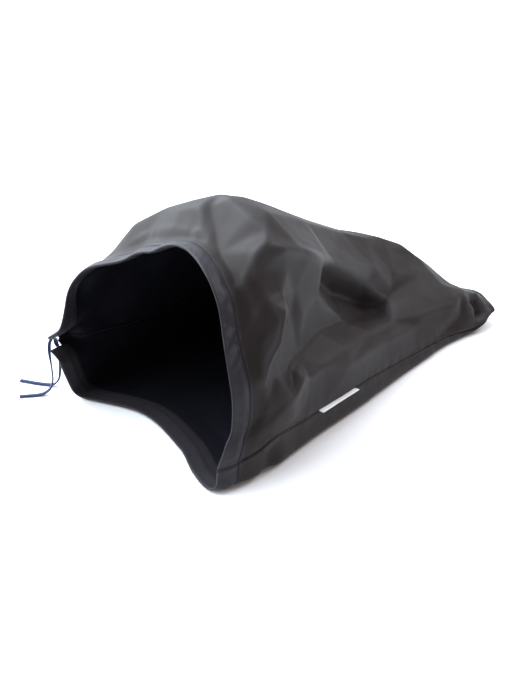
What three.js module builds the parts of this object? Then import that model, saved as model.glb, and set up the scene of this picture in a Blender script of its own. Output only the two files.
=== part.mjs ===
// A drawstring helmet bag of coated nylon, lying on its side with its mouth held open.
// Millimetres, +Z up. The mouth faces -Y, the closed end is towards +Y, and the label's side is +X.
import * as THREE from 'three';

// Cloth and sewing
const WALL = 1.5;
const GAP = 0.3;
const END_GAP = 0.8;
const BAG_LENGTH = 470;
const FLAT_FROM = 395;
const FLAT_BLEND = 25;
const CASING_WIDTH = 25;
const CASING_LAP = 7.5;
const CASING_HALF = 3.6;
const EDGE_ROLL = 12;
const EDGE_ROLL_SHARE = 1 / 3;

// Drawcord, a flat braid, the gap in the casing that its two ends come out of, and the stretch of
// a free end over which it twists
const CORD_WIDTH = 5;
const CORD_THICK = 2;
const CORD_ALONG = 13;
const EXIT_HALF = 7;
const TWIST = [0.1, 0.45];

// Label tab, sewn along the near side seam
const LABEL_FROM = 134;
const LABEL_LENGTH = 60;
const LABEL_DROP = 5;
const LABEL_THICK = 1.0;
const LABEL_SLOPE = 0.1;
const LABEL_STEPS = 12;

// Facets across the upper and lower panels, along the bag and along a cord end
const UPPER_STEPS = 40;
const LOWER_STEPS = 18;
const LENGTH_STEPS = 30;
const TAIL_STEPS = 14;

// The origin lies under the middle of the bag's box
const ORIGIN = new THREE.Vector3(-8.3, 226.45, 0);

// Sections across the bag. along: from the mouth's edge; near, far: reach of the ground edges;
// crown: height of the top; ridge: place of the top, towards the near side; nearFill, farFill:
// roundness of each side, 1 a straight slope, 2 an ellipse, more is boxy; under: height of the
// underside below the top; nearSeam, farSeam: how far up the cloth the side seams lie; curl: how far the
// near ground edge is turned up.
const SECTIONS = table(
  ['along', 'near', 'far', 'crown', 'ridge', 'nearFill', 'farFill', 'under', 'nearSeam', 'farSeam', 'curl'],
  [
    [0, 118, 122, 211, 12, 3.2, 2.8, 0, 26, 68, 0],
    [30, 129, 124, 204, 12, 2.9, 3.1, 0, 30, 66, 0],
    [65, 135, 131, 219, 10, 2.8, 3.1, 0, 42, 63, 0],
    [100, 132, 131, 232, 10, 2.4, 2.0, 0, 37, 58, 0],
    [160, 129, 133, 213, 6, 1.9, 2.0, 0, 32, 50, 0],
    [230, 127, 137, 180, 6, 1.4, 1.7, 0, 26, 42, 0],
    [300, 124, 142, 142, 10, 1.2, 1.5, 0, 18, 32, 0],
    [370, 122, 147, 111, 20, 1.2, 1.3, 0, 12, 20, 0],
    [410, 126, 150, 78, 42, 1.5, 1.4, 1, 8, 12, 0],
    [440, 137, 152, 44, 74, 1.9, 1.5, 4, 5, 6, 0],
    [460, 136, 153, 30, 82, 3, 2.4, 13, 2.5, 3, 4],
    [470, 121, 153, 22, 78, 7, 7, 22 - WALL - END_GAP, 1.2, 1.2, 13],
  ],
);
const UNDER_ROUND = 2;
const CURL_FROM = 0.4;

// How far the mouth's edge is set back, dying away over MOUTH_FADE of the length.
// around: 0 near side seam, about 0.55 the top, 1 far side seam, 1.2 to 1.93 the underside, and 2 the
// near side seam again.
const MOUTH_FADE = 0.55;
const MOUTH = table(
  ['around', 'back'],
  [
    [0, -18],
    [0.045, -10],
    [0.08, 1],
    [0.255, 10],
    [0.4, 25],
    [0.545, 46],
    [0.71, 43],
    [0.78, 27],
    [0.885, 0],
    [1, -14],
    [1.2, 4],
    [1.45, 30],
    [1.68, 10],
    [1.81, -13],
    [1.888, -21],
    [2, -18],
  ],
);

// How far the closed end reaches past BAG_LENGTH, growing from END_FROM of the length.
// across: 0 far corner, 1 near corner.
const END_FROM = 0.6;
const CLOSED_END = table(
  ['across', 'reach'],
  [
    [0, 4],
    [0.3, -10],
    [0.6, -12],
    [0.85, -2],
    [1, 1],
  ],
);

// Folds in the upper cloth, each along a line from (around, along) to (around, along).
// depth: out of the cloth, or in where negative; width: half width; soft: 0 a crease with straight sides,
// 1 a roll.
const FOLDS = table(
  ['aroundFrom', 'alongFrom', 'aroundTo', 'alongTo', 'depth', 'width', 'soft'],
  [
    [1.0, 0, 1.0, 30, 17, 16, 1],
    [0.08, 0, 0.12, 10, 8, 45, 1],
    [0.08, 28, 0.36, 26, -10, 26, 1],
    [0.64, 0, 0.72, 4, -16, 36, 1],
    [0.83, 0, 0.88, 30, 8, 24, 1],
    [0.87, 46, 0.76, 70, 9, 30, 1],
    [0.57, 88, 0.50, 45, 4, 36, 0],
    [0.46, 100, 0.435, 193, 4, 36, 0],
    [0.36, 30, 0.38, 80, 8, 44, 0],
    [0.38, 80, 0.34, 150, 9, 52, 0],
    [0.34, 150, 0.325, 220, 7, 48, 0],
    [0.325, 220, 0.29, 285, 6, 44, 0],
    [0.275, 205, 0.215, 308, -18, 27, 1],
    [0.20, 190, 0.15, 112, -12, 26, 1],
    [0.375, 372, 0.29, 338, 8, 40, 0],
    [0.29, 338, 0.19, 316, 8, 40, 0],
    [0.10, 210, 0.11, 330, 6, 36, 1],
    [0.26, 74, 0.17, 46, 8, 16, 1],
    [0.22, 104, 0.13, 78, -6, 18, 1],
    [0.10, 105, 0.04, 84, 4, 16, 1],
    [0.17, 424, 0.10, 402, 4, 36, 0],
    [0.12, 434, 0.04, 430, -7, 11, 1],
    [0.85, 150, 0.72, 300, -8, 32, 1],
    [0.92, 70, 0.84, 190, 5, 26, 1],
    [0.72, 390, 0.90, 300, 7, 52, 0],
  ],
);
const FOLD_GIRTH = 600;
const FOLD_ROUND = 6;
const CREASE_FOOT = 0.2;

// The folds die away at the near seam, just past the far seam and at the closed end.
const FOLD_NEAR = [0, 0.05];
const FOLD_FAR = [1.02, 1.1];
const FOLD_END = [0.95 * BAG_LENGTH, BAG_LENGTH];

// The casing's section, a strip folded over the cord, from its stitched edge to its fold.
// along, half: the outside's place and half height; alongIn, halfIn: the inside's.
const CASING = table(
  ['along', 'half', 'alongIn', 'halfIn'],
  [
    [CASING_WIDTH, 2.5, CASING_WIDTH, 1.5],
    [CASING_WIDTH - CASING_LAP, 2.5, CASING_WIDTH - CASING_LAP, 1.5],
    [CORD_ALONG, CASING_HALF, CORD_ALONG, 2.6],
    [5, 3.2, 5.5, 2.2],
    [0, 1.6, 1.2, 1.2],
  ],
);

// The drawcord's two ends, from the casing down to the ground and out to the cut.
const UPPER_ROUTE = [
  [-136.4, -2, 78.85],
  [-139.2, -3, 76],
  [-142, -4.8, 71.8],
  [-144.2, -6, 65],
  [-145.2, -6.2, 55],
  [-145.4, -5.4, 43],
  [-145.6, -4.6, 30],
  [-146, -4.6, 18],
  [-148, -7.4, 8.2],
  [-152, -13, 2.7],
  [-156.5, -19.2, 1.3],
  [-163, -27.2, 1.2],
  [-169, -34.5, 1.2],
];
const LOWER_ROUTE = [
  [-135.2, -1.7, 64.7],
  [-138, -1.6, 67.3],
  [-141.4, 0.4, 69.1],
  [-144.8, 3.2, 68.6],
  [-147.6, 6, 65.2],
  [-149.4, 8.4, 59],
  [-150, 9.8, 49],
  [-150.2, 10.6, 37],
  [-150.6, 10.6, 24],
  [-152.2, 9.4, 12],
  [-157, 6.8, 4.2],
  [-164.5, 3, 1.4],
  [-178.5, -4.6, 1.2],
  [-195, -12, 1.2],
];

// Rows of numbers with named columns.
function table(names, rows) {
  return rows.map((row) => Object.fromEntries(names.map((name, k) => [name, row[k]])));
}

// A smooth curve through one column of a table, that never swings past its rows.
function read(rows, key, column, at) {
  const last = rows.length - 1;
  const rise = (i) => (rows[i + 1][column] - rows[i][column]) / (rows[i + 1][key] - rows[i][key]);
  const slope = (i) => {
    if (i === 0 || i === last) return rise(Math.min(i, last - 1));
    const [a, b] = [rise(i - 1), rise(i)];
    return a * b > 0 ? (2 * a * b) / (a + b) : 0;
  };
  let k = 0;
  while (k < last - 1 && rows[k + 1][key] <= at) k++;
  const [p, q] = [rows[k], rows[k + 1]];
  const span = q[key] - p[key];
  const t = THREE.MathUtils.clamp((at - p[key]) / span, 0, 1);
  const [t2, t3] = [t * t, t * t * t];
  return (
    (2 * t3 - 3 * t2 + 1) * p[column] +
    (t3 - 2 * t2 + t) * span * slope(k) +
    (3 * t2 - 2 * t3) * q[column] +
    (t3 - t2) * span * slope(k + 1)
  );
}

const { smoothstep, euclideanModulo } = THREE.MathUtils;

// Evenly spaced points on a closed line, its length, and the length before one of its points.
function evenly(points, count, mark) {
  const along = [0];
  points.forEach((p, k) => {
    along.push(along[k] + p.distanceTo(points[(k + 1) % points.length]));
  });
  const total = along[points.length];
  const made = [];
  let k = 0;
  for (let n = 0; n < count; n++) {
    const at = (total * n) / count;
    while (along[k + 1] < at) k++;
    const t = (at - along[k]) / Math.max(along[k + 1] - along[k], 1e-9);
    made.push(points[k].clone().lerp(points[(k + 1) % points.length], t));
  }
  return { points: made, total, marked: along[mark] };
}

// The closed line with each point moved to the mean of its neighbours within a reach.
function softened(points, reach) {
  const n = points.length;
  return points.map((_, k) => {
    const mean = new THREE.Vector2();
    for (let d = -reach; d <= reach; d++) mean.add(points[(k + d + n) % n]);
    return mean.divideScalar(2 * reach + 1);
  });
}

// One section of the bag as a closed line: from the near ground edge over the top to the far one,
// and back along the ground. offset moves the cloth outwards.
const ARCH_POINTS = 240;
const GROUND_POINTS = 80;
const LOOP_POINTS = 400;
const sections = new Map();

function section(along, offset) {
  const key = `${along.toFixed(3)} ${offset}`;
  if (!sections.has(key)) sections.set(key, makeSection(along, offset));
  return sections.get(key);
}

function makeSection(along, offset) {
  const value = (column) => read(SECTIONS, 'along', column, along);
  const near = value('near') + offset;
  const far = value('far') + offset;
  const ridge = value('ridge');
  const under = value('under');
  const rise = value('crown') - under + 2 * offset;
  const lift = (CASING_HALF - WALL / 2) * (1 - smoothstep(along, CASING_WIDTH, 2 * CASING_WIDTH));
  const ground = (x) => {
    const q = x > ridge ? (x - ridge) / (near - ridge) : (ridge - x) / (far + ridge);
    const curled = value('curl') * smoothstep(x, CURL_FROM * near, near);
    return WALL / 2 + lift - offset + under * (1 - q ** UNDER_ROUND) + curled;
  };
  const line = [];
  for (let k = 0; k < ARCH_POINTS; k++) {
    const angle = (Math.PI * k) / ARCH_POINTS;
    const power = 2 / value(angle < Math.PI / 2 ? 'nearFill' : 'farFill');
    const across = Math.sign(Math.cos(angle)) * Math.abs(Math.cos(angle)) ** power;
    const x = ridge + across * (across > 0 ? near - ridge : far + ridge);
    line.push(new THREE.Vector2(x, ground(x) + rise * Math.sin(angle) ** power));
  }
  for (let k = 0; k < GROUND_POINTS; k++) {
    const x = -far + ((near + far) * k) / GROUND_POINTS;
    line.push(new THREE.Vector2(x, ground(x)));
  }
  const { points, total, marked } = evenly(line, LOOP_POINTS, ARCH_POINTS);
  const roll = Math.round((Math.min(EDGE_ROLL, rise * EDGE_ROLL_SHARE) / total) * LOOP_POINTS);
  const nearSeam = value('nearSeam') + offset;
  const farSeam = marked - value('farSeam') - offset;
  const upper = farSeam - nearSeam;
  return { points: softened(points, roll), near, far, total, nearSeam, farSeam, upper };
}

// The width of the upper or the lower panel at a section.
function girth(around, along) {
  const { upper, total } = section(along, 0);
  return euclideanModulo(around, 2) < 1 ? upper : total - upper;
}

// A point of the cloth before folding.
function smooth(around, along, offset = 0) {
  const { points, near, far, total, nearSeam, farSeam, upper } = section(along, offset);
  const turn = euclideanModulo(around, 2);
  const arc = turn <= 1 ? nearSeam + upper * turn : farSeam + (total - upper) * (turn - 1);
  const place = euclideanModulo((arc / total) * LOOP_POINTS, LOOP_POINTS);
  const k = Math.floor(place);
  const p = points[k].clone().lerp(points[(k + 1) % LOOP_POINTS], place - k);
  const v = along / BAG_LENGTH;
  const back = read(MOUTH, 'around', 'back', turn) * (1 - smoothstep(v, 0, MOUTH_FADE));
  const across = (p.x + far) / (near + far);
  const reach = read(CLOSED_END, 'across', 'reach', across) * smoothstep(v, END_FROM, 1);
  return new THREE.Vector3(p.x, along + back + reach, p.y);
}

// The way out of a surface of the bag, from points a short step to each side.
const STEP_AROUND = 0.006;
const STEP_ALONG = 3;

function outward(surface, around, along) {
  const across = surface(around + STEP_AROUND, along).sub(surface(around - STEP_AROUND, along));
  const ahead = surface(around, Math.min(along + STEP_ALONG, BAG_LENGTH));
  const onward = ahead.sub(surface(around, Math.max(along - STEP_ALONG, 0)));
  return onward.cross(across).normalize();
}

// A crease's height over its depth: straight sides that meet the cloth in a soft bend.
function crease(away) {
  const rise = 1 - away;
  return (rise + Math.hypot(rise, CREASE_FOOT)) / (1 + Math.hypot(1, CREASE_FOOT));
}

// How far the folds move the cloth outwards.
function fold(around, along) {
  const turn = euclideanModulo(around, 2);
  const p = new THREE.Vector3(turn * FOLD_GIRTH, along, 0);
  const nearest = new THREE.Vector3();
  let out = 0;
  for (const row of FOLDS) {
    const line = new THREE.Line3(
      new THREE.Vector3(row.aroundFrom * FOLD_GIRTH, row.alongFrom, 0),
      new THREE.Vector3(row.aroundTo * FOLD_GIRTH, row.alongTo, 0),
    );
    line.closestPointToPoint(p, true, nearest);
    const away = Math.hypot(p.distanceTo(nearest), FOLD_ROUND) - FOLD_ROUND;
    out += row.depth * (row.soft ? Math.exp(-((away / row.width) ** 2)) : crease(away / row.width));
  }
  const upperOnly = smoothstep(turn, ...FOLD_NEAR) * (1 - smoothstep(turn, ...FOLD_FAR));
  return out * upperOnly * (1 - smoothstep(along, ...FOLD_END));
}

// A point on the middle of the folded cloth.
function folded(around, along) {
  return smooth(around, along).addScaledVector(outward(smooth, around, along), fold(around, along));
}

// How far the cloth has come to lie flat, on its way to the closed end.
function drawnFlat(along) {
  return smoothstep(along, FLAT_FROM, FLAT_FROM + FLAT_BLEND);
}

// A point at a height above the middle of the folded cloth. Where the cloth is drawn flat at the
// closed end, its two skins are sections of their own.
function cloth(around, along, height = 0) {
  const square = folded(around, along).addScaledVector(outward(folded, around, along), height);
  const atEnd = drawnFlat(along);
  if (atEnd === 0) return square;
  const way = outward(smooth, around, along);
  const flat = smooth(around, along, height).addScaledVector(way, fold(around, along));
  return square.lerp(flat, atEnd);
}

// A closed solid from rings of points, joined ring to ring. The first half of a ring and its second
// half read backwards run side by side, and the end caps join them.
function solid(rings) {
  const n = rings[0].length;
  const position = new Float32Array(rings.flat().flatMap((p) => p.clone().sub(ORIGIN).toArray()));
  const index = [];
  const quad = (a, b, c, d) => index.push(a, c, b, a, d, c);
  for (let r = 0; r < rings.length - 1; r++) {
    for (let k = 0; k < n; k++) {
      const m = (k + 1) % n;
      quad(r * n + k, r * n + m, (r + 1) * n + m, (r + 1) * n + k);
    }
  }
  const top = (rings.length - 1) * n;
  for (let k = 0; k < n / 2 - 1; k++) {
    quad(n - 1 - k, n - 2 - k, k + 1, k);
    quad(top + k, top + k + 1, top + n - 2 - k, top + n - 1 - k);
  }
  const geometry = new THREE.BufferGeometry();
  geometry.setAttribute('position', new THREE.BufferAttribute(position, 3));
  geometry.setIndex(index);
  geometry.computeVertexNormals();
  return geometry;
}

const steps = (count) => Array.from({ length: count + 1 }, (_, k) => k / count);

// Where the facets meet round the bag, from the near seam to the cord exit and from there underneath.
const EXIT_UPPER = 1 - EXIT_HALF / girth(0.5, 0);
const EXIT_LOWER = 1 + EXIT_HALF / girth(1.5, 0);
const upperTurns = [...steps(UPPER_STEPS).slice(1, -1), EXIT_UPPER];
const lowerTurns = [EXIT_LOWER, ...steps(LOWER_STEPS).slice(1, -1).map((u) => 1 + u)];
const casingTurns = [...lowerTurns, 2, ...upperTurns.map((turn) => 2 + turn)];

// A sewn panel between two side seams, from inside the casing to the closed end. Each ring runs
// across the outer skin and back across the inner one.
function panel(from, inner, to) {
  const reach = BAG_LENGTH - CASING_WIDTH;
  const stations = steps(LENGTH_STEPS).map((v) => CASING_WIDTH + reach * v);
  const rings = [CASING_WIDTH - CASING_LAP, ...stations].map((along) => {
    const gap = THREE.MathUtils.lerp(GAP, END_GAP, drawnFlat(along));
    const inset = gap / 2 / girth(inner[0], along);
    const turns = [from + inset, ...inner, to - inset];
    const outside = turns.map((turn) => cloth(turn, along, WALL / 2));
    const inside = turns.map((turn) => cloth(turn, along, -WALL / 2));
    return [...outside, ...inside.reverse()];
  });
  return solid(rings);
}

// The casing runs from one side of the cord exit right round the mouth to the other side.
function casing() {
  const rings = casingTurns.map((turn) => {
    const outside = (side) => (row) => cloth(turn, row.along, side * row.half);
    const inside = (side) => (row) => cloth(turn, row.alongIn, side * row.halfIn);
    return [
      ...CASING.map(outside(1)),
      ...CASING.map(outside(-1)).reverse(),
      ...CASING.map(inside(-1)),
      ...CASING.map(inside(1)).reverse(),
    ];
  });
  return solid(rings);
}

// A flat cord's ring: an oblong with cut corners, set across the cord.
function cordRing(centre, side, up) {
  const [a, b] = [CORD_WIDTH / 2, CORD_THICK / 2];
  const corners = [[a, -b / 2], [a, b / 2], [a - b / 2, b], [b / 2 - a, b]];
  const half = [...corners, ...corners.map(([x, y]) => [-x, -y])];
  return half.map(([x, y]) => centre.clone().addScaledVector(side, x).addScaledVector(up, y));
}

function cordLoop() {
  const rings = casingTurns.map((turn) => {
    const centre = cloth(turn, CORD_ALONG);
    const up = outward(folded, turn, CORD_ALONG);
    const side = cloth(turn, CORD_ALONG + STEP_ALONG).sub(cloth(turn, CORD_ALONG - STEP_ALONG)).normalize();
    return cordRing(centre, side, up);
  });
  return solid(rings);
}

// A cord end along its route. It leaves the casing with its face outwards, and twists as it falls so
// that it lies flat on the ground.
function cordEnd(route, startFace) {
  const curve = new THREE.CatmullRomCurve3(route.map((p) => new THREE.Vector3(...p)));
  const frames = curve.computeFrenetFrames(TAIL_STEPS);
  const turnTo = (face, k) => Math.atan2(face.dot(frames.binormals[k]), face.dot(frames.normals[k]));
  const startTurn = turnTo(startFace, 0);
  const endTurn = turnTo(new THREE.Vector3(0, 0, 1), TAIL_STEPS);
  const twist = euclideanModulo(endTurn - startTurn + Math.PI / 2, Math.PI) - Math.PI / 2;
  const rings = steps(TAIL_STEPS).map((u, k) => {
    const way = frames.tangents[k];
    const up = frames.normals[k].clone().applyAxisAngle(way, startTurn + twist * smoothstep(u, ...TWIST));
    return cordRing(curve.getPointAt(u), way.clone().cross(up), up);
  });
  return solid(rings);
}

// The label: a strip whose root lies along the side seam and whose free edge droops.
function label() {
  const rings = steps(LABEL_STEPS).map((u) => {
    const along = LABEL_FROM + LABEL_LENGTH * u;
    const out = outward(folded, 0, along);
    const upwards = cloth(STEP_AROUND, along).sub(cloth(-STEP_AROUND, along)).normalize();
    const root = cloth(0, along, WALL / 2 + GAP);
    const droop = out.clone().addScaledVector(upwards, -LABEL_SLOPE).normalize();
    const top = root.clone().addScaledVector(upwards, LABEL_THICK / 2);
    const bottom = root.clone().addScaledVector(upwards, -LABEL_THICK / 2);
    const free = [top, bottom].map((p) => p.clone().addScaledVector(droop, LABEL_DROP));
    return [bottom, free[1], free[0], top];
  });
  return solid(rings);
}

const exitFace = outward(folded, 1, CORD_ALONG);

const group = new THREE.Group();

function add(name, geometry, color, roughness) {
  const mesh = new THREE.Mesh(geometry, new THREE.MeshStandardMaterial({ color, roughness }));
  mesh.name = name;
  group.add(mesh);
}

add('upper_panel', panel(0, upperTurns, 1), 0x2b2b2e, 0.55);
add('lower_panel', panel(1, lowerTurns, 2), 0x2b2b2e, 0.55);
add('mouth_casing', casing(), 0x303136, 0.55);
add('drawcord_loop', cordLoop(), 0x24345c, 0.8);
add('drawcord_end_upper', cordEnd(UPPER_ROUTE, exitFace), 0x24345c, 0.8);
add('drawcord_end_lower', cordEnd(LOWER_ROUTE, exitFace), 0x24345c, 0.8);
add('label_tab', label(), 0xf2f2f2, 0.7);

export default group;
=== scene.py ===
"""The looks of a drawstring helmet bag of coated nylon, lying on its side with its mouth held open.

Lengths in the tables are millimetres in the bag's own frame, whose origin lies on the ground under the
mouth. points() turns them into metres in the part's frame.
"""

import math

import bpy
import numpy as np
from mathutils import Matrix, Vector, noise
from mathutils.geometry import delaunay_2d_cdt


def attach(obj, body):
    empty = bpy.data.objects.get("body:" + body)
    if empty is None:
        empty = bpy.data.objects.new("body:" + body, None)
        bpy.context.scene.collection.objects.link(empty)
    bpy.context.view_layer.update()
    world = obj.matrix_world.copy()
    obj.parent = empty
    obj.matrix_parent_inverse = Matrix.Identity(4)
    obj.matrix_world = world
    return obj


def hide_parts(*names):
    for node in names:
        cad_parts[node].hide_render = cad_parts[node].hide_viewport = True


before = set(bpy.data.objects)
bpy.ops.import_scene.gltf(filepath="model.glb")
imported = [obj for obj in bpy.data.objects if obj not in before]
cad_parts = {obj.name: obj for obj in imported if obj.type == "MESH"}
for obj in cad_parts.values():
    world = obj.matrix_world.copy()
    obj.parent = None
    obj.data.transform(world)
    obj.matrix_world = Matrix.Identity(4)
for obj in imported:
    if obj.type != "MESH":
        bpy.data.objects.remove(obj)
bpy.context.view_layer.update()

MM = 0.001
ORIGIN = np.array([-8.3, 226.45, 0])


def points(places):
    """Places in the bag's own frame as points of the part's frame."""
    return (np.asarray(places, float) - ORIGIN) * MM


# Camera: the photograph's frame, with a point of the ground under the mouth seen at one of its pixels

PHOTO_WIDTH, PHOTO_HEIGHT = 516, 688
FOCAL_PIXELS = 1286
SENSOR = 36
AZIMUTH, ELEVATION = math.radians(42), math.radians(30)
DISTANCE = 1.35
AIM = Vector(points((0, 0, 0)))
AIM_PIXEL = (148, 442)


def make_camera():
    right = Vector((math.cos(AZIMUTH), math.sin(AZIMUTH), 0))
    back = Vector((math.sin(AZIMUTH), -math.cos(AZIMUTH), math.tan(ELEVATION))) * math.cos(ELEVATION)
    up = back.cross(right)
    aside = (PHOTO_WIDTH / 2 - AIM_PIXEL[0]) / FOCAL_PIXELS * DISTANCE
    above = (AIM_PIXEL[1] - PHOTO_HEIGHT / 2) / FOCAL_PIXELS * DISTANCE
    data = bpy.data.cameras.new("camera")
    data.sensor_width = SENSOR
    data.lens = FOCAL_PIXELS / PHOTO_HEIGHT * SENSOR
    camera = bpy.data.objects.new("camera", data)
    turned = Matrix((right, up, back)).transposed().to_4x4()
    camera.matrix_world = Matrix.Translation(AIM + back * DISTANCE + right * aside + up * above) @ turned
    bpy.context.scene.collection.objects.link(camera)
    bpy.context.scene.camera = camera


make_camera()


# Tables and curves

def table(names, rows):
    """Rows of numbers as named columns."""
    return dict(zip(names.split(), np.array(rows, float).T))


def read(keys, values, at):
    """A smooth curve through a column's values, that never swings past them."""
    at = np.asarray(at, float)
    rise = np.diff(values) / np.diff(keys)
    before, after = rise[:-1], rise[1:]
    same = before * after > 0
    inner = np.where(same, 2 * before * after / np.where(same, before + after, 1), 0)
    slope = np.concatenate([rise[:1], inner, rise[-1:]])
    k = np.clip(np.searchsorted(keys, at, side="right") - 1, 0, len(keys) - 2)
    span = keys[k + 1] - keys[k]
    t = np.clip((at - keys[k]) / span, 0, 1)
    return (
        (2 * t**3 - 3 * t**2 + 1) * values[k]
        + (t**3 - 2 * t**2 + t) * span * slope[k]
        + (3 * t**2 - 2 * t**3) * values[k + 1]
        + (t**3 - t**2) * span * slope[k + 1]
    )


def smoothstep(at, low, high):
    t = np.clip((np.asarray(at, float) - low) / (high - low), 0, 1)
    return t * t * (3 - 2 * t)


def blurred(grid, reach):
    """A grid with each value moved to the mean of its neighbours within a reach, both ways."""
    wide = np.pad(grid, reach, mode="edge")
    rows = sum(wide[k : k + grid.shape[0]] for k in range(2 * reach + 1))
    both = sum(rows[:, k : k + grid.shape[1]] for k in range(2 * reach + 1))
    return both / (2 * reach + 1) ** 2


def crumple(across, along, size, seed):
    """Soft random bumps about size wide, between about -1 and 1, on a grid or line of places."""
    places = np.stack(np.broadcast_arrays(across / size, along / size), -1).reshape(-1, 2)
    values = [noise.noise((x, y, seed)) for x, y in places.tolist()]
    return np.array(values).reshape(np.broadcast(across, along).shape)


# The bag's form: the sizes and tables that its solids have

WALL = 1.5
END_GAP = 0.8
BAG_LENGTH = 470
FLAT_FROM, FLAT_BLEND = 395, 25
CASING_WIDTH, CASING_LAP, CASING_HALF = 25, 7.5, 3.6
EDGE_ROLL, EDGE_ROLL_SHARE = 12, 1 / 3
UNDER_ROUND = 2
CURL_FROM = 0.4
MOUTH_FADE = 0.55
END_FROM = 0.6
FOLD_GIRTH, FOLD_ROUND = 600, 4
CREASE_FOOT = 0.2
FOLD_NEAR, FOLD_FAR = (0, 0.05), (1.02, 1.1)
FOLD_END = (0.95 * BAG_LENGTH, BAG_LENGTH)
STEP_AROUND, STEP_ALONG = 0.006, 3
ARCH_POINTS, GROUND_POINTS, LOOP_POINTS = 240, 80, 400

# Sections across the bag. along: from the mouth's edge; near, far: reach of the ground edges; crown, ridge:
# height and place of the top; nearFill, farFill: roundness of each side; under: height of the underside
# below the top; nearSeam, farSeam: how far up the cloth the side seams lie; curl: how far the near ground
# edge is turned up.
SECTIONS = table(
    "along near far crown ridge nearFill farFill under nearSeam farSeam curl",
    [
        (0, 118, 122, 211, 12, 3.2, 2.8, 0, 26, 68, 0),
        (30, 129, 124, 204, 12, 2.9, 3.1, 0, 30, 66, 0),
        (65, 135, 131, 219, 10, 2.8, 3.1, 0, 42, 63, 0),
        (100, 132, 131, 232, 10, 2.4, 2.0, 0, 37, 58, 0),
        (160, 129, 133, 213, 6, 1.9, 2.0, 0, 32, 50, 0),
        (230, 127, 137, 180, 6, 1.4, 1.7, 0, 26, 42, 0),
        (300, 124, 142, 142, 10, 1.2, 1.5, 0, 18, 32, 0),
        (370, 122, 147, 111, 20, 1.2, 1.3, 0, 12, 20, 0),
        (410, 126, 150, 78, 42, 1.5, 1.4, 1, 8, 12, 0),
        (440, 137, 152, 44, 74, 1.9, 1.5, 4, 5, 6, 0),
        (460, 136, 153, 30, 82, 3, 2.4, 13, 2.5, 3, 4),
        (470, 121, 153, 22, 78, 7, 7, 22 - WALL - END_GAP, 1.2, 1.2, 13),
    ],
)

# How far the mouth's edge is set back. around: 0 near side seam, 1 far side seam, 2 near side seam again.
MOUTH = table(
    "around back",
    [
        (0, -18),
        (0.045, -10),
        (0.08, 1),
        (0.255, 10),
        (0.4, 25),
        (0.545, 46),
        (0.71, 43),
        (0.78, 27),
        (0.885, 0),
        (1, -14),
        (1.2, 4),
        (1.45, 30),
        (1.68, 10),
        (1.81, -13),
        (1.888, -21),
        (2, -18),
    ],
)

# How far the closed end reaches past BAG_LENGTH. across: 0 far corner, 1 near corner.
CLOSED_END = table("across reach", [(0, 4), (0.3, -10), (0.6, -12), (0.85, -2), (1, 1)])

# Main folds, each along a line. depth: out of the cloth; width: half width; soft: 0 a crease with straight
# sides, 1 a roll.
FOLDS = table(
    "aroundFrom alongFrom aroundTo alongTo depth width soft",
    [
        (1.0, 0, 1.0, 30, 17, 16, 1),
        (0.08, 0, 0.12, 10, 8, 45, 1),
        (0.08, 28, 0.36, 26, -10, 26, 1),
        (0.64, 0, 0.72, 4, -16, 36, 1),
        (0.83, 0, 0.88, 30, 8, 24, 1),
        (0.87, 46, 0.76, 70, 9, 30, 1),
        (0.57, 88, 0.50, 45, 4, 36, 0),
        (0.46, 100, 0.435, 193, 4, 36, 0),
        (0.36, 30, 0.38, 80, 8, 44, 0),
        (0.38, 80, 0.34, 150, 9, 52, 0),
        (0.34, 150, 0.325, 220, 7, 48, 0),
        (0.325, 220, 0.29, 285, 6, 44, 0),
        (0.275, 205, 0.215, 308, -18, 27, 1),
        (0.20, 190, 0.15, 112, -12, 26, 1),
        (0.375, 372, 0.29, 338, 8, 40, 0),
        (0.29, 338, 0.19, 316, 8, 40, 0),
        (0.10, 210, 0.11, 330, 6, 36, 1),
        (0.26, 74, 0.17, 46, 8, 16, 1),
        (0.22, 104, 0.13, 78, -6, 18, 1),
        (0.10, 105, 0.04, 84, 4, 16, 1),
        (0.17, 424, 0.10, 402, 4, 36, 0),
        (0.12, 434, 0.04, 430, -7, 11, 1),
        (0.85, 150, 0.72, 300, -8, 32, 1),
        (0.92, 70, 0.84, 190, 5, 26, 1),
        (0.72, 390, 0.90, 300, 7, 52, 0),
    ],
)

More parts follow.
